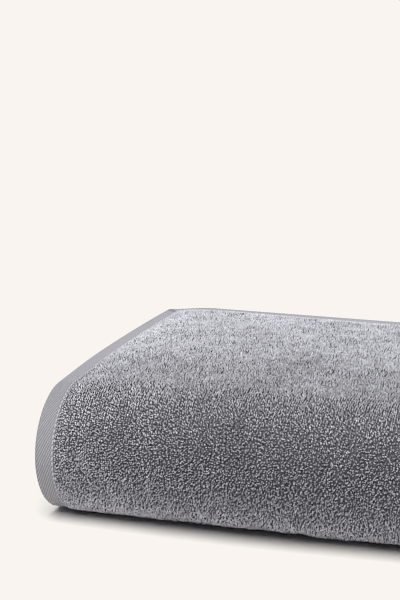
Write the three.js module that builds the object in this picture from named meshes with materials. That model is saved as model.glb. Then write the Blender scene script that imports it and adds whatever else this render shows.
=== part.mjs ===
// Folded washcloth: a square of plush terry, doubled over and then folded in three.
// Millimetres, +Z up. X runs along the side with the doubled-over fold, and -Y is the front,
// where the outer panel wraps the whole stack in one big round fold.

import * as THREE from 'three';
import { mergeVertices } from 'three/addons/utils/BufferGeometryUtils.js';

// The flat cloth
const CLOTH_ACROSS = 330;
const CLOTH_ALONG = 330;
const TERRY_THICKNESS = 6.1;
const HEM_THICKNESS = 3.4;
const HEM_WIDTH = 5.3;
const HEM_STEP = 4.5;
const HEM_ROUNDING = 0.8;
const HEM_EDGE_THICKNESS = 1.9;

// The gaps that keep the layers apart
const PLY_GAP = 0.5;
const PANEL_GAP = 0.8;

// The folds
const TUCK_INTO_FRONT_FOLD = 2;
const TOP_PANEL_SHORT_OF_BACK = 4;
const UPPER_PLY_STEPPED_BACK = 4;

// How the cloth has settled: its sag is a share of the height
const SAG_AT_HEMMED_END = 0.035;
const SAG_LENGTH = 16;
const SAG_AT_BACK = 0.02;
const SAG_AT_FRONT = 0.03;
const FRONT_SAG_LENGTH = 50;
const UNEVEN_HEIGHT = 0.014;
const FRONT_TUCK = 2;
const LOW_HEM_DROP = 0.7;
const DROP_FULL_WITHIN = 3;
const DROP_GONE_BY = 12;
const EDGE_WAVE_REACH = 30;

// Slow waves: how far each one moves the cloth, the length in which it repeats, and where it starts
const HEM_EDGE_WAVES = [{ size: 0.8, repeat: 480, start: 187 }];
const SIDE_FOLD_WAVES = [
  { size: 1.1, repeat: 230, start: 70 },
  { size: 0.5, repeat: 107, start: 0 },
];
const FRONT_WAVES = [{ size: 0.6, repeat: 100, start: 16 }];
const HEIGHT_WAVES_ACROSS = [{ size: 1, repeat: 132, start: 17 }];
const HEIGHT_WAVES_DEEP = [{ size: 1, repeat: 151, start: 26 }];

// What follows from the sizes above
const plyOffset = (TERRY_THICKNESS + PLY_GAP) / 2;
const doubledThickness = 2 * TERRY_THICKNESS + PLY_GAP;
const panelPitch = doubledThickness + PANEL_GAP;
const stackHeight = 2 * panelPitch + doubledThickness;
const sideFoldLength = Math.PI * plyOffset;
const plyRun = (CLOTH_ACROSS - sideFoldLength) / 2;
const backFoldRadius = panelPitch / 2;
const frontFoldRadius = panelPitch;
const backFoldLength = Math.PI * backFoldRadius;
const frontFoldLength = Math.PI * frontFoldRadius;

// The depth that uses up the length of the cloth, folded in three
const straightLength = CLOTH_ALONG - backFoldLength - frontFoldLength;
const frontReach = frontFoldRadius + doubledThickness / 2;
const backReach = backFoldRadius + doubledThickness / 2;
const lengthLostAtEnds = 3 * frontReach + 2 * backReach - TUCK_INTO_FRONT_FOLD + TOP_PANEL_SHORT_OF_BACK;
const depth = (straightLength + lengthLostAtEnds) / 3;
const frontFoldY = -depth / 2 + frontReach;
const backFoldY = depth / 2 - backReach;
const innerEndY = frontFoldY - TUCK_INTO_FRONT_FOLD;
const topEndY = depth / 2 - TOP_PANEL_SHORT_OF_BACK;
const innerPanelLength = backFoldY - innerEndY;
const bottomPanelLength = backFoldY - frontFoldY;
const topPanelLength = topEndY - frontFoldY;
const bottomPanelZ = doubledThickness / 2;
const innerPanelZ = bottomPanelZ + panelPitch;
const topPanelZ = innerPanelZ + panelPitch;
const hemBand = HEM_WIDTH + HEM_STEP;

// Rows of the mesh across the cloth, from the hem of the upper ply to the hem of the lower ply
const rowsAcross = [
  { stretch: 'upper hem edge', length: HEM_ROUNDING, steps: 1 },
  { stretch: 'upper hem', length: HEM_WIDTH - HEM_ROUNDING, steps: 1 },
  { stretch: 'upper hem step', length: HEM_STEP, steps: 3 },
  { stretch: 'upper ply', length: plyRun - hemBand, steps: 13 },
  { stretch: 'side fold', length: sideFoldLength, steps: 6 },
  { stretch: 'lower ply', length: plyRun - hemBand, steps: 13 },
  { stretch: 'lower hem step', length: HEM_STEP, steps: 3 },
  { stretch: 'lower hem', length: HEM_WIDTH - HEM_ROUNDING, steps: 1 },
  { stretch: 'lower hem edge', length: HEM_ROUNDING, steps: 1 },
];

// Rows of the mesh along the cloth, from its inner end to the end that lies on top
const rowsAlong = [
  { stretch: 'inner hem edge', length: HEM_ROUNDING, steps: 1 },
  { stretch: 'inner hem', length: HEM_WIDTH - HEM_ROUNDING, steps: 1 },
  { stretch: 'inner hem step', length: HEM_STEP, steps: 3 },
  { stretch: 'inner panel', length: innerPanelLength - hemBand, steps: 6 },
  { stretch: 'back fold', length: backFoldLength, steps: 8 },
  { stretch: 'bottom panel', length: bottomPanelLength, steps: 7 },
  { stretch: 'front fold', length: frontFoldLength, steps: 12 },
  { stretch: 'top panel', length: topPanelLength - hemBand, steps: 7 },
  { stretch: 'outer hem step', length: HEM_STEP, steps: 3 },
  { stretch: 'outer hem', length: HEM_WIDTH - HEM_ROUNDING, steps: 1 },
  { stretch: 'outer hem edge', length: HEM_ROUNDING, steps: 1 },
];

function rowPlaces(rows) {
  const places = [0];
  let start = 0;
  for (const { length, steps } of rows) {
    for (let step = 1; step <= steps; step += 1) {
      places.push(start + (length * step) / steps);
    }
    start += length;
  }
  return places;
}

const { smoothstep, clamp } = THREE.MathUtils;

// Half the thickness of one ply at a distance from the nearest edge of the cloth
function halfThicknessAt(fromEdge) {
  const rounding = Math.sqrt(clamp(fromEdge / HEM_ROUNDING, 0, 1));
  const hem = HEM_EDGE_THICKNESS + (HEM_THICKNESS - HEM_EDGE_THICKNESS) * rounding;
  const rise = smoothstep(fromEdge, HEM_WIDTH, hemBand);
  return (hem + (TERRY_THICKNESS - hem) * rise) / 2;
}

// The doubled-over section: where a place across the cloth lies, and which way its face points
function sectionAt(across) {
  if (across <= plyRun) {
    return { x: across, offset: plyOffset, faceX: 0, faceOffset: 1, upper: 1 };
  }
  if (across >= plyRun + sideFoldLength) {
    return { x: CLOTH_ACROSS - across, offset: -plyOffset, faceX: 0, faceOffset: -1, upper: 0 };
  }
  const angle = (across - plyRun) / plyOffset;
  return {
    x: plyRun + plyOffset * Math.sin(angle),
    offset: plyOffset * Math.cos(angle),
    faceX: Math.sin(angle),
    faceOffset: Math.cos(angle),
    upper: (1 + Math.cos(angle)) / 2,
  };
}

// The fold in three: the middle of the doubled cloth, and the way to the outside of its spiral
function foldAt(along) {
  let rest = along;
  if (rest <= innerPanelLength) {
    return { y: innerEndY + rest, z: innerPanelZ, outY: 0, outZ: 1 };
  }
  rest -= innerPanelLength;
  if (rest <= backFoldLength) {
    const angle = rest / backFoldRadius;
    const outY = Math.sin(angle);
    const outZ = Math.cos(angle);
    const centreZ = (innerPanelZ + bottomPanelZ) / 2;
    return { y: backFoldY + backFoldRadius * outY, z: centreZ + backFoldRadius * outZ, outY, outZ };
  }
  rest -= backFoldLength;
  if (rest <= bottomPanelLength) {
    return { y: backFoldY - rest, z: bottomPanelZ, outY: 0, outZ: -1 };
  }
  rest -= bottomPanelLength;
  if (rest <= frontFoldLength) {
    const angle = rest / frontFoldRadius;
    const outY = -Math.sin(angle);
    const outZ = -Math.cos(angle);
    return { y: frontFoldY + frontFoldRadius * outY, z: innerPanelZ + frontFoldRadius * outZ, outY, outZ };
  }
  rest -= frontFoldLength;
  return { y: frontFoldY + rest, z: topPanelZ, outY: 0, outZ: 1 };
}

function waveAt(waves, place) {
  let sum = 0;
  for (const { size, repeat, start } of waves) {
    sum += size * Math.sin((2 * Math.PI * (place + start)) / repeat);
  }
  return sum;
}

// The soft unevenness of cloth that has been folded and put down
function settle(point, along) {
  const fromHemmedEnd = point.x;
  const fromSideFold = plyRun + doubledThickness / 2 - point.x;
  const hemPull = Math.exp(-Math.max(fromHemmedEnd, 0) / EDGE_WAVE_REACH);
  const foldPull = Math.exp(-Math.max(fromSideFold, 0) / EDGE_WAVE_REACH);

  const fromFront = point.y + depth / 2;
  const toBack = fromFront / depth;
  const endSag = SAG_AT_HEMMED_END * (1 - smoothstep(fromHemmedEnd, 0, SAG_LENGTH));
  const frontSag = SAG_AT_FRONT * (1 - smoothstep(fromFront, 0, FRONT_SAG_LENGTH));
  const uneven = waveAt(HEIGHT_WAVES_ACROSS, point.x) * waveAt(HEIGHT_WAVES_DEEP, point.y);
  const height = 1 - endSag - frontSag - SAG_AT_BACK * toBack * toBack + UNEVEN_HEIGHT * uneven;

  const level = clamp(point.z / stackHeight, 0, 1);
  const nearHem = 1 - smoothstep(fromHemmedEnd, DROP_FULL_WITHIN, DROP_GONE_BY);
  const drop = LOW_HEM_DROP * nearHem * (1 - level) ** 2;
  const atFront = smoothstep(frontFoldY - point.y, 0, frontReach);
  const tuck = FRONT_TUCK * (1 - level) ** 3;
  const frontShift = tuck + waveAt(FRONT_WAVES, point.x);

  point.x += waveAt(HEM_EDGE_WAVES, along) * hemPull + waveAt(SIDE_FOLD_WAVES, along) * foldPull;
  point.y += atFront * frontShift;
  point.z = Math.max(point.z * height - drop, 0);
}

// One corner of the flat cloth's mesh, brought to its place in the folded cloth
function foldedPoint(across, along, side, target) {
  const fromEdge = Math.min(across, CLOTH_ACROSS - across, along, CLOTH_ALONG - along);
  const halfThickness = halfThicknessAt(fromEdge);
  const section = sectionAt(across);
  const topStart = CLOTH_ALONG - topPanelLength;
  const stepBack = UPPER_PLY_STEPPED_BACK * section.upper * smoothstep(along, topStart, CLOTH_ALONG);
  const fold = foldAt(along - stepBack);
  const offset = section.offset + side * halfThickness * section.faceOffset;
  target.set(
    section.x + side * halfThickness * section.faceX,
    fold.y + offset * fold.outY,
    fold.z + offset * fold.outZ,
  );
  settle(target, along);
}

function foldedClothGeometry() {
  const across = rowPlaces(rowsAcross);
  const along = rowPlaces(rowsAlong);
  const columns = across.length - 1;
  const rows = along.length - 1;
  const geometry = new THREE.BoxGeometry(columns, rows, 1, columns, rows, 1);
  const position = geometry.attributes.position;
  const point = new THREE.Vector3();
  for (let index = 0; index < position.count; index += 1) {
    const column = Math.round(position.getX(index) + columns / 2);
    const row = Math.round(position.getY(index) + rows / 2);
    const side = Math.sign(position.getZ(index));
    foldedPoint(across[column], along[row], side, point);
    position.setXYZ(index, point.x, point.y, point.z);
  }
  geometry.deleteAttribute('normal');
  geometry.deleteAttribute('uv');
  return mergeVertices(geometry);
}

// The origin is the middle of the footprint, on the surface that the cloth lies on
function standOnOrigin(geometry) {
  geometry.computeBoundingBox();
  const box = geometry.boundingBox;
  geometry.translate(-(box.min.x + box.max.x) / 2, -(box.min.y + box.max.y) / 2, -box.min.z);
  geometry.computeVertexNormals();
  return geometry;
}

const greyTerry = new THREE.MeshStandardMaterial({ color: 0x88878c, roughness: 1, metalness: 0 });
const cloth = new THREE.Mesh(standOnOrigin(foldedClothGeometry()), greyTerry);
cloth.name = 'folded_washcloth';

const washcloth = new THREE.Group();
washcloth.add(cloth);

export default washcloth;
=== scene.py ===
# A square washcloth of thick looped terry, doubled over and folded in three
import math

import bpy
import numpy as np
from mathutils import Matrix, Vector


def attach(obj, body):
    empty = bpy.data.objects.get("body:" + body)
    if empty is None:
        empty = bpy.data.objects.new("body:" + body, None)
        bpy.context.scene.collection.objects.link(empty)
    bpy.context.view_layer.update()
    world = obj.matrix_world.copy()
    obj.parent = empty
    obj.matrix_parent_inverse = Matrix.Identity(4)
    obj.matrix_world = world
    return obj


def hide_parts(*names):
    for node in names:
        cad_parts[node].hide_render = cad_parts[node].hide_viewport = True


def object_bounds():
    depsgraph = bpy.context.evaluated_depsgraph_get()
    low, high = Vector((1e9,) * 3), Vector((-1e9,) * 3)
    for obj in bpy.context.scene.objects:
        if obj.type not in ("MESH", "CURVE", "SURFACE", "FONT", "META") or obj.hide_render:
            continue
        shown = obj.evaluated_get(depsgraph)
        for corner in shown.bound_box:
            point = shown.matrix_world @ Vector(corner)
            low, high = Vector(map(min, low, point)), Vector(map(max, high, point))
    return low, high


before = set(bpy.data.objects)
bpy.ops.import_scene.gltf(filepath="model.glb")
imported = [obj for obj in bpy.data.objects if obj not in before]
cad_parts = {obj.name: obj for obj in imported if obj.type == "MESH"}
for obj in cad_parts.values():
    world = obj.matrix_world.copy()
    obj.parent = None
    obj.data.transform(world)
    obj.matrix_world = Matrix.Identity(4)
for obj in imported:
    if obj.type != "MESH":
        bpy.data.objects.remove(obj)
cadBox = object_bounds()
bpy.ops.object.select_all(action="DESELECT")

mm = 0.001

cloth = {
    "across": 330 * mm,  # the flat square, before it is doubled over
    "along": 330 * mm,
    "terry": 6.1 * mm,  # thickness of one layer with its loops
    "hem": 3.4 * mm,
    "hemEdge": 1.9 * mm,
    "hemWidth": 5.3 * mm,
    "hemStep": 4.5 * mm,
    "hemRounding": 0.8 * mm,
    "plyGap": 0.5 * mm,
    "panelGap": 0.8 * mm,
    "tuckIntoFrontFold": 2 * mm,
    "topShortOfBack": 4 * mm,
    "upperPlyStepBack": 4 * mm,
    "pile": 1.1 * mm,  # how far the loops stand above their ground
}

settled = {
    "sagAtHemmedEnd": 0.035,  # shares of the height
    "sagLength": 16 * mm,
    "sagAtBack": 0.02,
    "sagAtFront": 0.03,
    "frontSagLength": 50 * mm,
    "unevenHeight": 0.014,
    "frontTuck": 2 * mm,
    "lowHemDrop": 0.7 * mm,
    "dropFullWithin": 3 * mm,
    "dropGoneBy": 12 * mm,
    "waveReach": 30 * mm,
    "hemWaves": [(0.8 * mm, 480 * mm, 187 * mm)],  # size, repeat, start
    "sideFoldWaves": [(1.1 * mm, 230 * mm, 70 * mm), (0.5 * mm, 107 * mm, 0)],
    "frontWaves": [(0.6 * mm, 100 * mm, 16 * mm)],
    "heightWavesAcross": [(1, 132 * mm, 17 * mm)],  # these two are multiplied by unevenHeight
    "heightWavesDeep": [(1, 151 * mm, 26 * mm)],
}

# What follows from the sizes
plyOffset = (cloth["terry"] + cloth["plyGap"]) / 2
doubled = 2 * cloth["terry"] + cloth["plyGap"]
panelPitch = doubled + cloth["panelGap"]
stackHeight = 2 * panelPitch + doubled
sideFoldLength = math.pi * plyOffset
plyRun = (cloth["across"] - sideFoldLength) / 2
backRadius = panelPitch / 2
frontRadius = panelPitch
backFoldLength = math.pi * backRadius
frontFoldLength = math.pi * frontRadius
frontReach = frontRadius + doubled / 2
backReach = backRadius + doubled / 2
straight = cloth["along"] - backFoldLength - frontFoldLength
atEnds = 3 * frontReach + 2 * backReach - cloth["tuckIntoFrontFold"] + cloth["topShortOfBack"]
depth = (straight + atEnds) / 3
frontY = -depth / 2 + frontReach
backY = depth / 2 - backReach
innerEndY = frontY - cloth["tuckIntoFrontFold"]
innerLength = backY - innerEndY
bottomLength = backY - frontY
topLength = depth / 2 - cloth["topShortOfBack"] - frontY
innerZ = doubled / 2 + panelPitch
hemBand = cloth["hemWidth"] + cloth["hemStep"]
backFoldStart = innerLength
bottomStart = backFoldStart + backFoldLength
frontFoldStart = bottomStart + bottomLength
topStart = frontFoldStart + frontFoldLength


def smoothStep(value, low, high):
    t = np.clip((value - low) / (high - low), 0, 1)
    return t * t * (3 - 2 * t)


def waveAt(waves, place):
    total = 0
    for size, repeat, start in waves:
        total = total + size * np.sin(2 * math.pi * (place + start) / repeat)
    return total


def sectionAt(across):
    # the doubled section: x, distance from the middle of the doubled cloth, and the face's direction
    angle = np.clip((across - plyRun) / plyOffset, 0, math.pi)
    x = np.minimum(np.minimum(across, plyRun), cloth["across"] - across) + plyOffset * np.sin(angle)
    return x, plyOffset * np.cos(angle), np.sin(angle), np.cos(angle)


def foldAt(along):
    # the fold in three: middle of the doubled cloth, and the way to the outside of its spiral
    backAngle = np.clip((along - backFoldStart) / backRadius, 0, math.pi)
    frontAngle = np.clip((along - frontFoldStart) / frontRadius, 0, math.pi)
    turned = backAngle + frontAngle
    onBottom = np.clip(along - bottomStart, 0, bottomLength)
    y = innerEndY + np.minimum(along, innerLength) + backRadius * np.sin(backAngle)
    y = y - onBottom - frontRadius * np.sin(frontAngle) + np.maximum(along - topStart, 0)
    z = innerZ + backRadius * (np.cos(backAngle) - 1) + frontRadius * (1 - np.cos(frontAngle))
    return y, z, np.sin(turned), np.cos(turned)


def settle(x, y, z, along):
    fromSideFold = plyRun + doubled / 2 - x
    hemPull = np.exp(-np.maximum(x, 0) / settled["waveReach"])
    foldPull = np.exp(-np.maximum(fromSideFold, 0) / settled["waveReach"])
    fromFront = y + depth / 2
    toBack = fromFront / depth
    frontSag = settled["sagAtFront"] * (1 - smoothStep(fromFront, 0, settled["frontSagLength"]))
    endSag = settled["sagAtHemmedEnd"] * (1 - smoothStep(x, 0, settled["sagLength"]))
    uneven = waveAt(settled["heightWavesAcross"], x) * waveAt(settled["heightWavesDeep"], y)
    height = 1 - endSag - frontSag - settled["sagAtBack"] * toBack * toBack
    height = height + settled["unevenHeight"] * uneven
    level = np.clip(z / stackHeight, 0, 1)
    nearHem = 1 - smoothStep(x, settled["dropFullWithin"], settled["dropGoneBy"])
    drop = settled["lowHemDrop"] * nearHem * (1 - level) ** 2
    atFront = smoothStep(frontY - y, 0, frontReach)
    tuck = settled["frontTuck"] * (1 - level) ** 3
    shiftX = waveAt(settled["hemWaves"], along) * hemPull
    shiftX = shiftX + waveAt(settled["sideFoldWaves"], along) * foldPull
    shiftY = atFront * (tuck + waveAt(settled["frontWaves"], x))
    return np.stack([x + shiftX, y + shiftY, np.maximum(z * height - drop, 0)], axis=-1)


def foldedRaw(across, along, lift):
    # a place on the flat cloth, lifted off the middle of its layer, brought to the folded cloth
    x, offset, faceX, faceOffset = sectionAt(across)
    upper = (1 + faceOffset) / 2
    onTop = smoothStep(along, cloth["along"] - topLength, cloth["along"])
    stepBack = cloth["upperPlyStepBack"] * upper * onTop
    y, z, outY, outZ = foldAt(along - stepBack)
    offset = offset + lift * faceOffset
    return settle(x + lift * faceX, y + offset * outY, z + offset * outZ, along)


def halfThickness(fromEdge):
    rounding = np.sqrt(np.clip(fromEdge / cloth["hemRounding"], 0, 1))
    hem = cloth["hemEdge"] + (cloth["hem"] - cloth["hemEdge"]) * rounding
    rise = smoothStep(fromEdge, cloth["hemWidth"], hemBand)
    return (hem + (cloth["terry"] - hem) * rise) / 2


def fromEdges(across, along):
    nearSide = np.minimum(across, cloth["across"] - across)
    return np.minimum(nearSide, np.minimum(along, cloth["along"] - along))


def measureShift():
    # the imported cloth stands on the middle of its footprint, so the folded one is moved there
    lines = 331  # one a millimetre
    fineAcross = np.linspace(0, cloth["across"], lines)
    fineAlong = np.linspace(0, cloth["along"], lines)
    across, along = np.meshgrid(fineAcross, fineAlong, indexing="ij")
    half = halfThickness(fromEdges(across, along))
    points = np.concatenate([foldedRaw(across, along, side * half).reshape(-1, 3) for side in (-1, 1)])
    middle = (points.min(axis=0) + points.max(axis=0)) / 2
    low, high = (np.array(corner) for corner in cadBox)
    shift = (low + high) / 2 - middle
    shift[2] = low[2] - points[:, 2].min()
    return shift


clothShift = measureShift()
print("fold map ready, moved by", [round(float(value) / mm, 2) for value in clothShift], "mm")


def folded(across, along, lift):
    return foldedRaw(across, along, lift) + clothShift


def lengthAlong(points):
    # the distance from the first of a line of points to each of them
    steps = np.linalg.norm(np.diff(points, axis=0), axis=1)
    return np.concatenate([[0], np.cumsum(steps)])


probe = 0.05 * mm  # the step that directions on the folded cloth are measured with


def outwardAt(across, along, lift):
    out = folded(across, along, lift + probe) - folded(across, along, lift)
    return out / np.linalg.norm(out, axis=1, keepdims=True)


def slowNoise(a, b, waves):
    # smooth unevenness from slanted waves, given as size, shortest repeat, longest repeat and seed
    size, shortest, longest, seed = waves
    random = np.random.default_rng(seed)
    waveCount = 9
    total = 0
    for _ in range(waveCount):
        heading = random.uniform(0, 2 * math.pi)
        repeat = random.uniform(shortest, longest)
        start = random.uniform(0, 2 * math.pi)
        place = a * math.cos(heading) + b * math.sin(heading)
        total = total + np.sin(2 * math.pi * place / repeat + start)
    return size * (total / math.sqrt(waveCount * 2))


# Materials

yarn = {
    # the root colour is painted shade, at the feet of the loops and at the edges of the curls
    "root": (0.19, 0.19, 0.216, 1),
    "tip": (0.645, 0.647, 0.729, 1),
    "hemLight": (0.47, 0.47, 0.524, 1),
    "hemDark": (0.335, 0.334, 0.374, 1),
    # the groove colour is painted shade between the hem's ribs
    "shadedHemGroove": (0.265, 0.265, 0.296, 1),
    "hemPlain": (0.39, 0.39, 0.435, 1),  # rims and inner sides of the hems, which have no ribs
    "cord": (0.54, 0.54, 0.603, 1),
    # the ground colour is painted shade, under the loops
    "ground": (0.13, 0.13, 0.146, 1),
}

finish = {
    "loops": {"Roughness": 0.9, "Sheen Weight": 0.25, "Specular IOR Level": 0.25},
    "ground": {"Roughness": 0.85, "Sheen Weight": 0.2, "Specular IOR Level": 0.25},
    "thread": {"Roughness": 0.75, "Sheen Weight": 0.2, "Specular IOR Level": 0.3},
    "floor": {"Roughness": 0.9, "Specular IOR Level": 0.1},
}

pattern = {
    # the loops' painted root shade reaches this far up
    "rootShadeEnds": 0.15,  # on a loop's way from foot to crown
    "tipBegins": 0.85,
    "darkestTone": 0.42,  # factors of the loops' colour
    "lightestTone": 1.58,
    "curlsPerCentimetre": 55,
    "curlFade": 0.62,
    "curlHeight": -3,
    "curlBump": (0.5, 0.12 * mm),  # strength and depth
    "fibresPerMetre": 900,
    "fibreBump": (0.3, 0.05 * mm),
}


def newMaterial(name, look):
    material = bpy.data.materials.new(name)
    material.use_nodes = True
    tree = material.node_tree
    shader = tree.nodes["Principled BSDF"]
    for socket, value in look.items():
        shader.inputs[socket].default_value = value
    return material, tree, shader


def addNode(tree, kind, **settings):
    node = tree.nodes.new(kind)
    for key, value in settings.items():
        setattr(node, key, value)
    return node


def addRamp(tree, factor, stops):
    ramp = addNode(tree, "ShaderNodeValToRGB")
    for element, (position, colour) in zip(ramp.color_ramp.elements, stops):
        element.position = position
        element.color = colour
    tree.links.new(factor, ramp.inputs["Fac"])
    return ramp.outputs["Color"]


def addMix(tree, factor, first, second, blend="MIX"):
    # the factor and the two colours are sockets or plain values
    mix = addNode(tree, "ShaderNodeMix", data_type="RGBA", blend_type=blend)
    for name, value in (("Factor", factor), ("A", first), ("B", second)):
        if isinstance(value, bpy.types.NodeSocket):
            tree.links.new(value, mix.inputs[name])
        else:
            mix.inputs[name].default_value = value
    return mix.outputs["Result"]


def addBump(tree, shader, height, strength, depth):
    bump = addNode(tree, "ShaderNodeBump")
    bump.inputs["Strength"].default_value = strength
    bump.inputs["Distance"].default_value = depth
    tree.links.new(height, bump.inputs["Height"])
    tree.links.new(bump.outputs["Normal"], shader.inputs["Normal"])


def loopYarn():
    # tone comes from the loops' own UV map: u is the yarn's lightness, v runs from root to tip, and the
    # dark root colour is painted shade at the feet of the loops
    material, tree, shader = newMaterial("loopYarn", finish["loops"])
    uv = addNode(tree, "ShaderNodeUVMap", uv_map="OFBake")
    split = addNode(tree, "ShaderNodeSeparateXYZ")
    tree.links.new(uv.outputs["UV"], split.inputs["Vector"])
    stops = ((pattern["rootShadeEnds"], yarn["root"]), (pattern["tipBegins"], yarn["tip"]))
    climb = addRamp(tree, split.outputs["Y"], stops)
    tone = addNode(tree, "ShaderNodeMapRange")
    tone.inputs["To Min"].default_value = pattern["darkestTone"]
    tone.inputs["To Max"].default_value = pattern["lightestTone"]
    tree.links.new(split.outputs["X"], tone.inputs["Value"])
    colour = addMix(tree, 1, climb, tone.outputs["Result"], blend="MULTIPLY")
    tree.links.new(colour, shader.inputs["Base Color"])
    return material


def clothGround():
    # hems are a fine flat weave, and the rest is the ground that the loops grow from; the ground's dark
    # colour under the loops, the dark edges of the curls and the hem's dark grooves are painted shade
    material, tree, shader = newMaterial("clothGround", finish["ground"])
    uv = addNode(tree, "ShaderNodeUVMap", uv_map="flatCloth")
    hem, bare, plain = (
        addNode(tree, "ShaderNodeAttribute", attribute_name=name).outputs["Fac"]
        for name in ("hemShare", "bareShare", "plainShare")
    )
    curls = addNode(tree, "ShaderNodeTexVoronoi", feature="F1")
    curls.inputs["Scale"].default_value = pattern["curlsPerCentimetre"]
    tree.links.new(uv.outputs["UV"], curls.inputs["Vector"])
    distance = curls.outputs["Distance"]
    # painted shade: each curl fades to the dark root colour at its edges
    curlColour = addRamp(tree, distance, ((0, yarn["tip"]), (pattern["curlFade"], yarn["root"])))
    # painted shade: the dark ground colour where loops stand
    groundColour = addMix(tree, bare, yarn["ground"], curlColour)
    # painted shade in the grooves between the hem's ribs; the rims and inner sides are plain
    hemColour = addMix(tree, plain, yarn["shadedHemGroove"], yarn["hemPlain"])
    colour = addMix(tree, hem, groundColour, hemColour)
    tree.links.new(colour, shader.inputs["Base Color"])
    upside = addNode(tree, "ShaderNodeMath", operation="MULTIPLY")
    upside.inputs[1].default_value = pattern["curlHeight"]
    tree.links.new(distance, upside.inputs[0])
    addBump(tree, shader, upside.outputs["Value"], *pattern["curlBump"])
    return material


def threadOf(name, dark, light):
    material, tree, shader = newMaterial(name, finish["thread"])
    place = addNode(tree, "ShaderNodeTexCoord")
    fibres = addNode(tree, "ShaderNodeTexNoise")
    fibres.inputs["Scale"].default_value = pattern["fibresPerMetre"]
    tree.links.new(place.outputs["Object"], fibres.inputs["Vector"])
    colour = addMix(tree, fibres.outputs["Fac"], dark, light)
    tree.links.new(colour, shader.inputs["Base Color"])
    addBump(tree, shader, fibres.outputs["Fac"], *pattern["fibreBump"])
    return material


yarnMaterial = loopYarn()
groundMaterial = clothGround()
threadMaterial = threadOf("hemThread", yarn["hemDark"], yarn["hemLight"])
cordMaterial = threadOf("hemCord", yarn["hemLight"], yarn["cord"])
print("materials ready")


# The cloth itself: one closed sheet, thin at its hems, lowered where loops stand on it

hemRows = [  # length and steps of each stretch of the grid
    (cloth["hemRounding"], 3),
    (cloth["hemWidth"] - cloth["hemRounding"], 5),
    (cloth["hemStep"], 6),
]

weave = {
    "acrossRows": [
        *hemRows,
        (plyRun - hemBand, 44),
        (sideFoldLength, 16),
        (plyRun - hemBand, 44),
        *reversed(hemRows),
    ],
    "alongRows": [
        *hemRows,
        (innerLength - hemBand, 24),
        (backFoldLength, 24),
        (bottomLength, 26),
        (frontFoldLength, 36),
        (topLength - hemBand, 30),
        *reversed(hemRows),
    ],
    "sagging": (0.22 * mm, 9 * mm, 34 * mm, 5),  # small unevenness of the ground under the loops
    "sagsWhereLowered": 0.2 * mm,
    "hemFade": 0.5 * mm,
    "rimFade": cloth["hemRounding"] / 3,
}

pileEdge = {  # where the pile comes or goes, from the start or end of each fold
    "beforeFrontFold": (-5 * mm, -1 * mm),
    "beforeBackFold": (-12 * mm, -8 * mm),
    "afterBackFold": (4 * mm, 8 * mm),
    "beforeSideFold": (-8 * mm, -5 * mm),
    "insideSideFold": (0.80 * sideFoldLength, 0.95 * sideFoldLength),
}

bakeMap = {  # shares of the map
    "left": 0.005,
    "width": 0.48,
    "nextFace": 0.5,
    "bottom": 0.02,
    "height": 0.96,
    "sideRim": 0.488,
    "endRim": 0.494,
    "rimWidth": 0.004,
}


def rowPlaces(rows):
    places = [0.0]
    start = 0.0
    for length, steps in rows:
        places += [start + length * step / steps for step in range(1, steps + 1)]
        start += length
    return np.array(places)


def stepNear(value, place, reach):
    return smoothStep(value, place + reach[0], place + reach[1])


def pileShare(across, along):
    # 1 where loops stand on the outer face: front fold, top, back fold and the side folds
    onTop = stepNear(along, frontFoldStart, pileEdge["beforeFrontFold"])
    onBack = stepNear(along, backFoldStart, pileEdge["beforeBackFold"])
    onBack = onBack * (1 - stepNear(along, bottomStart, pileEdge["afterBackFold"]))
    onSideFold = stepNear(across, plyRun, pileEdge["beforeSideFold"])
    beforeInside = 1 - stepNear(across, plyRun, pileEdge["insideSideFold"])
    return np.maximum(np.maximum(onTop, onBack), onSideFold) * beforeInside


def groundLift(across, along, side):
    fromEdge = fromEdges(across, along)
    half = halfThickness(fromEdge)
    rise = smoothStep(fromEdge, cloth["hemWidth"], hemBand)
    lowered = cloth["pile"] * pileShare(across, along) * rise * (side > 0)
    sagging = slowNoise(across, along, weave["sagging"]) * rise * (lowered > weave["sagsWhereLowered"])
    return side * (half - lowered) + sagging


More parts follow.
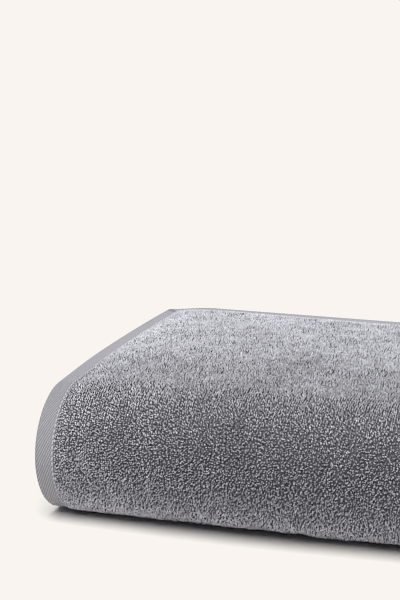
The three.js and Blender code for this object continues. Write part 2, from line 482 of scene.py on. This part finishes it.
def makeCloth():
    across = rowPlaces(weave["acrossRows"])
    along = rowPlaces(weave["alongRows"])
    columns, rows = len(across) - 1, len(along) - 1
    bpy.ops.mesh.primitive_grid_add(x_subdivisions=columns, y_subdivisions=rows, size=2)
    piece = bpy.context.object
    piece.name = "terryCloth"
    bpy.ops.object.mode_set(mode="EDIT")
    bpy.ops.mesh.select_all(action="SELECT")
    bpy.ops.mesh.extrude_region_move(TRANSFORM_OT_translate={"value": (0, 0, 1)})
    bpy.ops.mesh.select_all(action="SELECT")
    bpy.ops.mesh.normals_make_consistent(inside=False)
    bpy.ops.object.mode_set(mode="OBJECT")
    mesh = piece.data

    # the grid's own places, from -1 to 1, tell each vertex its row, its column and its face
    flat = np.zeros(len(mesh.vertices) * 3)
    mesh.vertices.foreach_get("co", flat)
    flat = flat.reshape(-1, 3)
    column = np.rint((flat[:, 0] + 1) / 2 * columns).astype(int)
    row = np.rint((flat[:, 1] + 1) / 2 * rows).astype(int)
    side = np.where(flat[:, 2] > 0.5, 1, -1)
    placeAcross, placeAlong = across[column], along[row]
    points = folded(placeAcross, placeAlong, groundLift(placeAcross, placeAlong, side))
    points[:, 2] = np.maximum(points[:, 2], 0)
    mesh.vertices.foreach_set("co", points.ravel())

    fromEdge = fromEdges(placeAcross, placeAlong)
    shares = {
        "hemShare": 1 - stepNear(fromEdge, cloth["hemWidth"], (0, weave["hemFade"])),
        "bareShare": 1 - pileShare(placeAcross, placeAlong) * (side > 0),
        "plainShare": np.where(side > 0, 1 - smoothStep(fromEdge, 0, weave["rimFade"]), 1),
    }
    for name, values in shares.items():
        mesh.attributes.new(name, "FLOAT", "POINT").data.foreach_set("value", values)

    while mesh.uv_layers:
        mesh.uv_layers.remove(mesh.uv_layers[0])
    corner = np.zeros(len(mesh.loops), int)
    mesh.loops.foreach_get("vertex_index", corner)
    flatMap = mesh.uv_layers.new(name="flatCloth")
    centimetre = 10 * mm
    flatUv = np.stack([placeAcross[corner], placeAlong[corner]], axis=1) / centimetre
    flatMap.data.foreach_set("uv", flatUv.ravel())
    layBakeMap(mesh, corner, placeAcross, placeAlong, side)
    mesh.polygons.foreach_set("use_smooth", np.ones(len(mesh.polygons), bool))
    mesh.materials.clear()
    mesh.materials.append(groundMaterial)
    mesh.update()
    return piece


def layBakeMap(mesh, corner, across, along, side):
    # both faces lie side by side in the map, with the rim's narrow faces in strips between them
    layer = mesh.uv_layers.new(name="OFBake")
    u = across / cloth["across"]
    v = along / cloth["along"]
    mapU = bakeMap["left"] + bakeMap["width"] * u + bakeMap["nextFace"] * (side < 0)
    uv = np.stack([mapU, bakeMap["bottom"] + bakeMap["height"] * v], axis=1)[corner]
    starts = np.zeros(len(mesh.polygons), int)
    mesh.polygons.foreach_get("loop_start", starts)
    spans = starts[:, None] + np.arange(4)
    faceSide = side[corner[spans]]
    rim = (faceSide.min(axis=1) < 0) & (faceSide.max(axis=1) > 0)
    nothing = 1e-9
    for span in spans[rim]:
        vertices = corner[span]
        onSide = np.ptp(u[vertices]) < nothing
        run = v[vertices] if onSide else u[vertices]
        strip = bakeMap["sideRim"] if onSide else bakeMap["endRim"]
        strip = strip + bakeMap["rimWidth"] * (side[vertices] > 0)
        uv[span] = np.stack([strip, bakeMap["bottom"] + bakeMap["height"] * run], axis=1)
    layer.data.foreach_set("uv", uv.ravel())


terryCloth = makeCloth()
print("cloth ready,", len(terryCloth.data.polygons), "faces")


# Loops of yarn

loop = {
    "pitchAcross": 0.65 * mm,
    "pitchAlong": 0.6 * mm,
    "jitterAcross": 0.16,  # shares of the pitch
    "jitterAlong": 0.32,
    "samples": 600,  # on each line that the rows are measured along
    "seed": 11,
    "clearOfHem": 0.4 * mm,  # how near the beds of loops come to the hem and the folds
    "beforeFrontFold": 2 * mm,
    "beforeBackFold": 8 * mm,
    "afterBackFold": 4 * mm,
    "beforeSideFold": 5 * mm,
    "roundSideFold": 0.86,  # share of the side fold
    "rootDepth": 0.15 * mm,
    "yarn": 0.21 * mm,  # half the yarn's thickness at the top of a loop
    "crownDip": 0.5,  # share of that
    "spread": 0.6 * mm,
    "spreadShares": (0.75, 1.3),
    "height": 1.2 * mm,
    "heightJitter": 0.13 * mm,
    "heightSwell": (0.14 * mm, 2.5 * mm, 9 * mm, 41),
    "heightLimits": (0.5 * mm, 1.7 * mm),
    "lowestAtHem": 0.6,  # share of the height
    "turn": 0.6,  # how far the loops turn away from the cloth's length, in radians
    "lean": 0.26 * mm,
    "leanDrifts": [(0.2 * mm, 3 * mm, 14 * mm, 31), (0.2 * mm, 3 * mm, 14 * mm, 32)],
    "pressedAndLit": 0.25,  # how much lower the pile is beside a hem and near the floor
    "pressedAndLitAtHem": 12 * mm,
    "pressedAndLitAtFloor": 14 * mm,
    "clearOfFloor": 0.03 * mm,
    "topBegins": (-16 * mm, 0),
    "hemReach": 27 * mm,
    "calmerNearHem": 0.3,  # how much more even the pile is there, fitted to the photo
    "calmerOnTop": 0.6,
}

# The yarn's lightness from 0 to 1, part by part. It is fitted to the photo's light: besides random tone
# it holds painted light beside the hems and near the floor, and painted shade on the top and at the
# bend; the cloth itself may well be one even tone
loopTone = {
    "middle": 0.53,
    "eachLoop": 0.14,
    "eachCorner": 0.28,
    "patches": (0.06, 12 * mm, 50 * mm, 51),
    "clumps": (0.08, 2.5 * mm, 8 * mm, 52),
    # painted light: loops paler beside a hem and near the floor
    "pressedAndLit": 0.04,
    # painted light beside the hems, painted shade over the top and at the bend from the front to the top
    "paintedLightNearHem": 0.16,
    "paintedShadeOnTop": 0.17,
    "paintedShadeOnShoulder": 0.2,
    "shoulderBegins": (-24 * mm, -6 * mm),
    "shoulderEnds": (4 * mm, 45 * mm),
    "limits": (0.02, 0.98),
    # low values at the feet put them in the painted root shade, which the two below lift near the hems,
    # near the floor and on the top
    "climb": (0.05, 0.9, 0.92, 0.94, 0.96, 0.08),  # from the first foot over the crown to the last foot
    "lessRootShadeNearHemAndFloor": 0.55,
    "lessRootShadeOnTop": 0.55,
}


def evenRows(across, along, flatPlaces, pitch):
    # places on the flat cloth that lie at even steps once it is folded
    points = foldedRaw(across, along, np.full_like(flatPlaces, cloth["terry"] / 2))
    length = lengthAlong(points)
    numbers = np.arange(len(points))
    count = max(int(round(length[-1] / pitch)), 1)
    spots = np.interp((np.arange(count) + 0.5) * length[-1] / count, length, numbers)
    return np.interp(spots, numbers, flatPlaces)


def loopSites(acrossFrom, acrossTo, alongFrom, alongTo, random):
    fineAlong = np.linspace(alongFrom, alongTo, loop["samples"])
    middle = np.full_like(fineAlong, (acrossFrom + min(acrossTo, plyRun)) / 2)
    alongRows = evenRows(middle, fineAlong, fineAlong, loop["pitchAlong"])
    fineAcross = np.linspace(acrossFrom, acrossTo, loop["samples"])
    onTop = np.full_like(fineAcross, (topStart + cloth["along"]) / 2)
    acrossRows = evenRows(fineAcross, onTop, fineAcross, loop["pitchAcross"])
    a, s = np.meshgrid(acrossRows, alongRows, indexing="ij")
    stepAcross = np.gradient(acrossRows)[:, None]
    stepAlong = np.gradient(alongRows)[None, :]
    a = a + stepAcross * random.uniform(-loop["jitterAcross"], loop["jitterAcross"], a.shape)
    s = s + stepAlong * random.uniform(-loop["jitterAlong"], loop["jitterAlong"], a.shape)
    return a.ravel(), s.ravel()


def fading(distance, reach):
    return np.exp(-(distance / reach) ** 2)


def loopPoints(a, s, pressedAndLit, uneven, random):
    # a loop is a small arch: two feet that end in points, and four corners round its crown
    count = len(a)
    lift = groundLift(a, s, np.ones_like(a)) - loop["rootDepth"]
    foot = folded(a, s, lift)
    out = outwardAt(a, s, lift)
    toAcross = folded(a + probe, s, lift) - foot
    toAcross -= out * (toAcross * out).sum(axis=1, keepdims=True)
    toAcross /= np.linalg.norm(toAcross, axis=1, keepdims=True)
    toAlong = np.cross(out, toAcross)

    heading = math.pi / 2 + loop["turn"] * random.normal(0, 1, count)
    leanBy = loop["lean"] * random.normal(0, 1, (count, 2)) * uneven[:, None]
    for axis, drift in enumerate(loop["leanDrifts"]):
        leanBy[:, axis] += slowNoise(a, s, drift)
    height = loop["height"] + loop["heightJitter"] * random.normal(0, 1, count) * uneven
    rise = smoothStep(fromEdges(a, s), cloth["hemWidth"], hemBand)
    height = height * (loop["lowestAtHem"] + (1 - loop["lowestAtHem"]) * rise)
    height = height * (1 - loop["pressedAndLit"] * pressedAndLit)
    height = height + slowNoise(a, s, loop["heightSwell"]) * uneven
    height = np.clip(height, *loop["heightLimits"])
    spread = loop["spread"] * random.uniform(*loop["spreadShares"], count)
    dip = loop["yarn"] * random.uniform(-loop["crownDip"], loop["crownDip"], count)

    run = np.cos(heading)[:, None] * toAcross + np.sin(heading)[:, None] * toAlong
    cross = np.cross(out, run)
    leaning = leanBy[:, :1] * toAcross + leanBy[:, 1:] * toAlong
    top = foot + out * height[:, None] + leaning
    halfRun = run * (0.5 * spread)[:, None]
    crown = []
    for k in range(4):
        angle = math.radians(45 + 90 * k)
        tilt = run * dip[:, None] * (1 if k in (0, 3) else -1)
        crown.append(top + loop["yarn"] * (math.cos(angle) * cross + math.sin(angle) * out) + tilt)
    points = np.stack([foot - halfRun] + crown + [foot + halfRun], axis=1)
    points[:, :, 2] = np.maximum(points[:, :, 2], loop["clearOfFloor"])
    return points


def loopTones(a, s, pressedAndLit, uneven, onTop, nearHem, random):
    # one place in the tone map for every corner of every loop
    count, corners = len(a), len(loopTone["climb"])
    tone = loopTone["middle"] + loopTone["eachLoop"] * random.normal(0, 1, count)
    tone = tone + slowNoise(a, s, loopTone["patches"])
    # painted light: paler loops beside a hem and near the floor; the clumps are random tone
    tone += slowNoise(a, s, loopTone["clumps"]) + loopTone["pressedAndLit"] * pressedAndLit
    # painted shade at the bend from the front to the top and over the top, painted light beside the hems
    onShoulder = stepNear(s, topStart, loopTone["shoulderBegins"])
    onShoulder = onShoulder * (1 - stepNear(s, topStart, loopTone["shoulderEnds"]))
    level = loopTone["paintedLightNearHem"] * nearHem - loopTone["paintedShadeOnTop"] * onTop
    tone += level - loopTone["paintedShadeOnShoulder"] * onShoulder
    jitter = random.uniform(-loopTone["eachCorner"], loopTone["eachCorner"], (count, corners))
    tone = np.clip(tone[:, None] + jitter * uneven[:, None], *loopTone["limits"])
    # less painted root shade near the hems, near the floor and on the top
    roots = np.maximum(loopTone["lessRootShadeNearHemAndFloor"] * pressedAndLit, loopTone["lessRootShadeOnTop"] * onTop)
    climb = np.maximum(np.array(loopTone["climb"]), roots[:, None])
    return np.stack([tone, climb], axis=2).reshape(-1, 2)


def growLoops(name, a, s, random):
    fromHem = fromEdges(a, s) - hemBand
    onTop = stepNear(s, topStart, loop["topBegins"])
    nearHem = fading(fromHem, loop["hemReach"])
    uneven = (1 - loop["calmerOnTop"] * onTop) * (1 - loop["calmerNearHem"] * nearHem)
    pressedAndLit = fading(fromHem, loop["pressedAndLitAtHem"])
    pressedAndLit = np.maximum(pressedAndLit, fading(s - frontFoldStart, loop["pressedAndLitAtFloor"]))
    points = loopPoints(a, s, pressedAndLit, uneven, random)
    uv = loopTones(a, s, pressedAndLit, uneven, onTop, nearHem, random)

    count, perLoop = points.shape[:2]
    faces = [(0, (k + 1) % 4 + 1, k + 1) for k in range(4)]
    faces += [(5, k + 1, (k + 1) % 4 + 1) for k in range(4)]
    allCorners = (np.array(faces)[None] + np.arange(count)[:, None, None] * perLoop).ravel()
    faceCount = count * len(faces)
    mesh = bpy.data.meshes.new(name)
    mesh.vertices.add(count * perLoop)
    mesh.vertices.foreach_set("co", points.ravel())
    mesh.loops.add(len(allCorners))
    mesh.loops.foreach_set("vertex_index", allCorners)
    mesh.polygons.add(faceCount)
    mesh.polygons.foreach_set("loop_start", np.arange(faceCount) * 3)
    mesh.polygons.foreach_set("use_smooth", np.ones(faceCount, bool))
    layer = mesh.uv_layers.new(name="OFBake")
    layer.data.foreach_set("uv", uv[allCorners].ravel())
    mesh.materials.append(yarnMaterial)
    mesh.update(calc_edges=True)
    mesh.validate()
    piece = bpy.data.objects.new(name, mesh)
    bpy.context.scene.collection.objects.link(piece)
    print(name, count, "loops,", faceCount, "triangles")
    return piece


def makePile():
    random = np.random.default_rng(loop["seed"])
    hemStart = cloth["hemWidth"] + loop["clearOfHem"]
    hemEnd = cloth["along"] - hemStart
    half = (hemStart + plyRun) / 2
    sideStart = plyRun - loop["beforeSideFold"]
    sideEnd = plyRun + loop["roundSideFold"] * sideFoldLength
    backStart = backFoldStart - loop["beforeBackFold"]
    backEnd = bottomStart + loop["afterBackFold"]
    frontStart = frontFoldStart - loop["beforeFrontFold"]
    beds = {
        "pileFrontLeft": (hemStart, half, frontStart, topStart),
        "pileFrontRight": (half, sideEnd, frontStart, topStart),
        "pileTopLeft": (hemStart, half, topStart, hemEnd),
        "pileTopRight": (half, sideEnd, topStart, hemEnd),
        "pileBack": (hemStart, sideEnd, backStart, backEnd),
        "pileBottomEnd": (sideStart, sideEnd, backEnd, frontStart),
        "pileInnerEnd": (sideStart, sideEnd, hemStart, backStart),
    }
    pieces = []
    for name, bed in beds.items():
        a, s = loopSites(*bed, random)
        pieces.append(growLoops(name, a, s, random))
    return pieces


pilePieces = makePile()


# Stitches along the hems

stitch = {
    "length": 1.5 * mm,
    "gap": 0.15 * mm,
    "thread": 0.26 * mm,
    "fromEdge": cloth["hemWidth"] - 0.1 * mm,
    "bow": (-0.05 * mm, 0.1 * mm, 0.14 * mm, 0.1 * mm, -0.05 * mm),
    "roundSideFold": 0.8,  # share of the side fold
    "sideSamples": 3000,  # on each line that the stitches are measured along
    "endSamples": 2000,
    "sides": 6,
}

tubeEnd = 0.55  # a tube's thickness at its ends, as a share of its middle


def makeTubes(name, runs, radius, sides, material):
    # many short closed tubes in one mesh: every run is a line of points and their outward directions
    vertices, faces = [], []
    for centre, out in runs:
        first = len(vertices)
        steps = len(centre)
        forward = np.gradient(centre, axis=0)
        forward /= np.linalg.norm(forward, axis=1, keepdims=True)
        cross = np.cross(out, forward)
        for k in range(steps):
            swell = tubeEnd if k in (0, steps - 1) else 1.0
            for corner in range(sides):
                angle = 2 * math.pi * corner / sides
                spoke = math.cos(angle) * cross[k] + math.sin(angle) * out[k]
                vertices.append(tuple(centre[k] + spoke * radius * swell))
        for k in range(steps - 1):
            for corner in range(sides):
                a0 = first + k * sides + corner
                a1 = first + k * sides + (corner + 1) % sides
                faces.append((a0, a1, a1 + sides, a0 + sides))
        faces.append(tuple(first + corner for corner in reversed(range(sides))))
        last = first + (steps - 1) * sides
        faces.append(tuple(last + corner for corner in range(sides)))
    mesh = bpy.data.meshes.new(name)
    mesh.from_pydata(vertices, [], faces)
    mesh.polygons.foreach_set("use_smooth", np.ones(len(mesh.polygons), bool))
    mesh.materials.append(material)
    mesh.update()
    piece = bpy.data.objects.new(name, mesh)
    bpy.context.scene.collection.objects.link(piece)
    print(name, len(runs), "runs,", len(faces), "faces")
    return piece


def stitchRow(a, s):
    # a line on the flat cloth, cut into stitches
    length = lengthAlong(folded(a, s, groundLift(a, s, np.ones_like(a))))
    runs = []
    at = 0.0
    while at + stitch["length"] < length[-1]:
        spots = at + (stitch["length"] - stitch["gap"]) * np.linspace(0, 1, len(stitch["bow"]))
        aa, ss = np.interp(spots, length, a), np.interp(spots, length, s)
        lift = groundLift(aa, ss, np.ones_like(aa)) + np.array(stitch["bow"])
        runs.append((folded(aa, ss, lift), outwardAt(aa, ss, lift)))
        at += stitch["length"]
    return runs


def makeStitches():
    edge = stitch["fromEdge"]
    sideEnd = plyRun + sideFoldLength * stitch["roundSideFold"]
    s = np.linspace(edge, cloth["along"] - edge, stitch["sideSamples"])
    a = np.linspace(edge, sideEnd, stitch["endSamples"])
    runs = stitchRow(np.full_like(s, edge), s)
    runs += stitchRow(a, np.full_like(a, cloth["along"] - edge))
    return makeTubes("hemStitches", runs, stitch["thread"], stitch["sides"], cordMaterial)


hemStitches = makeStitches()


# Fine slanted ribs of the flat-woven hems

rib = {
    "pitch": 0.575 * mm,
    "slant": math.radians(31),
    "halfWidth": 0.19 * mm,
    "sunk": 0.03 * mm,
    "fromEdge": 0.15 * mm,
    "fromStitches": 0.1 * mm,
    "fromCorner": 0.2 * mm,
    "lastBegins": 0.7,  # shares of the side fold
    "roundSideFold": 0.8,
    "steps": 8,
    "fewestSteps": 3,
    "sides": 4,
}


def ribRuns(last, layOut):
    # ribs at even steps along a hem, each from the edge to the stitches
    spacing = rib["pitch"] / math.sin(rib["slant"])
    inner, outer = stitch["fromEdge"] - rib["fromStitches"], rib["fromEdge"]
    reach = (inner - outer) / math.tan(rib["slant"])
    t = np.linspace(0, 1, rib["steps"])
    runs = []
    start = -reach
    while start < last:
        a, s, keep = layOut(start + reach * t, outer + (inner - outer) * t)
        if keep.sum() >= rib["fewestSteps"]:
            a, s = a[keep], s[keep]
            lift = groundLift(a, s, np.ones_like(a)) - rib["sunk"]
            runs.append((folded(a, s, lift), outwardAt(a, s, lift)))
        start += spacing
    return runs


def alongSideHem(run, deep):
    return deep, run, (run > rib["fromCorner"]) & (run < cloth["along"] - deep)


def alongEndHem(run, deep):
    # it meets the side hem at a mitre
    s = cloth["along"] - deep
    sideEnd = plyRun + rib["roundSideFold"] * sideFoldLength
    return run, s, (run > cloth["along"] - s) & (run < sideEnd)


def makeRibs():
    runs = ribRuns(cloth["along"], alongSideHem)
    runs += ribRuns(plyRun + rib["lastBegins"] * sideFoldLength, alongEndHem)
    return makeTubes("hemRibs", runs, rib["halfWidth"], rib["sides"], threadMaterial)


hemRibs = makeRibs()


# Who stands for what

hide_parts("folded_washcloth")
trimmings = pilePieces + [hemStitches, hemRibs]
for piece in [terryCloth] + trimmings:
    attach(piece, "root")


# Surface, light and camera

stage = {
    "floor": 16,
    "drop": 0.15 * mm,
    "floorColour": (0.94, 0.912, 0.893, 1),
    "worldColour": (0.9, 0.97, 1.12, 1),
    "worldStrength": 0.15,
    "sunStrength": 3.4,
    "sunColour": (1, 0.985, 0.93),
    "sunSpread": math.radians(50),
    "sunPlace": (-0.3, 0.2, 1),
    "sunTilt": (math.radians(28), math.radians(-4), 0),
    "sharpening": 0.03,
    "paperWhite": (0.947, 0.905, 0.871),  # the photo's warm white, which the overlit surface clips to
}


def makeFloor():
    bpy.ops.mesh.primitive_plane_add(size=stage["floor"], location=(0, 0, -stage["drop"]))
    floor = bpy.context.object
    floor.name = "paleFloor"
    bpy.ops.object.transform_apply(location=True, rotation=True, scale=True)
    material, _, shader = newMaterial("paleSurface", finish["floor"])
    shader.inputs["Base Color"].default_value = stage["floorColour"]
    floor.data.materials.append(material)


def makeLight():
    world = bpy.data.worlds.new("softRoom")
    world.use_nodes = True
    backdrop = world.node_tree.nodes["Background"]
    backdrop.inputs["Color"].default_value = stage["worldColour"]
    backdrop.inputs["Strength"].default_value = stage["worldStrength"]
    bpy.context.scene.world = world
    bpy.ops.object.light_add(type="SUN", location=stage["sunPlace"], rotation=stage["sunTilt"])
    sun = bpy.context.object
    sun.name = "softOverhead"
    sun.data.energy = stage["sunStrength"]
    sun.data.color = stage["sunColour"]
    sun.data.angle = stage["sunSpread"]


viewpoint = {
    "place": (121.1 * mm, -534.6 * mm, 184.2 * mm),
    "pitch": math.radians(13.17),
    "turn": math.radians(18.27),
    "lens": 120,
    "sensor": 36,  # the longer side of the picture, in the lens's own measure
    "clip": (0.01, 60),
}


def makeCamera():
    bpy.ops.object.camera_add(
        location=viewpoint["place"],
        rotation=(math.pi / 2 - viewpoint["pitch"], 0, viewpoint["turn"]),
    )
    camera = bpy.context.object
    camera.name = "photoCamera"
    camera.data.lens = viewpoint["lens"]
    camera.data.sensor_width = viewpoint["sensor"]
    camera.data.sensor_fit = "AUTO"
    camera.data.clip_start, camera.data.clip_end = viewpoint["clip"]
    bpy.context.scene.camera = camera


def setExposure():
    # straight tones up to the paper white, and flat above it
    look = bpy.context.scene.view_settings
    look.view_transform = "Standard"
    look.use_curve_mapping = True
    look.curve_mapping.extend = "HORIZONTAL"
    for curve, white in zip(look.curve_mapping.curves, stage["paperWhite"]):
        curve.points.new(white, white)
        curve.points[len(curve.points) - 1].location = (1, white)
        for point in curve.points:
            point.handle_type = "VECTOR"
    look.curve_mapping.update()


def sharpen():
    # the photo has been sharpened a little, and so is the picture
    scene = bpy.context.scene
    scene.use_nodes = True
    tree = scene.node_tree
    tree.nodes.clear()
    layers = addNode(tree, "CompositorNodeRLayers")
    crisp = addNode(tree, "CompositorNodeFilter", filter_type="SHARPEN")
    crisp.inputs["Fac"].default_value = stage["sharpening"]
    final = addNode(tree, "CompositorNodeComposite")
    tree.links.new(layers.outputs["Image"], crisp.inputs["Image"])
    tree.links.new(crisp.outputs["Image"], final.inputs["Image"])


makeFloor()
makeLight()
makeCamera()
setExposure()
sharpen()
print("stage ready")
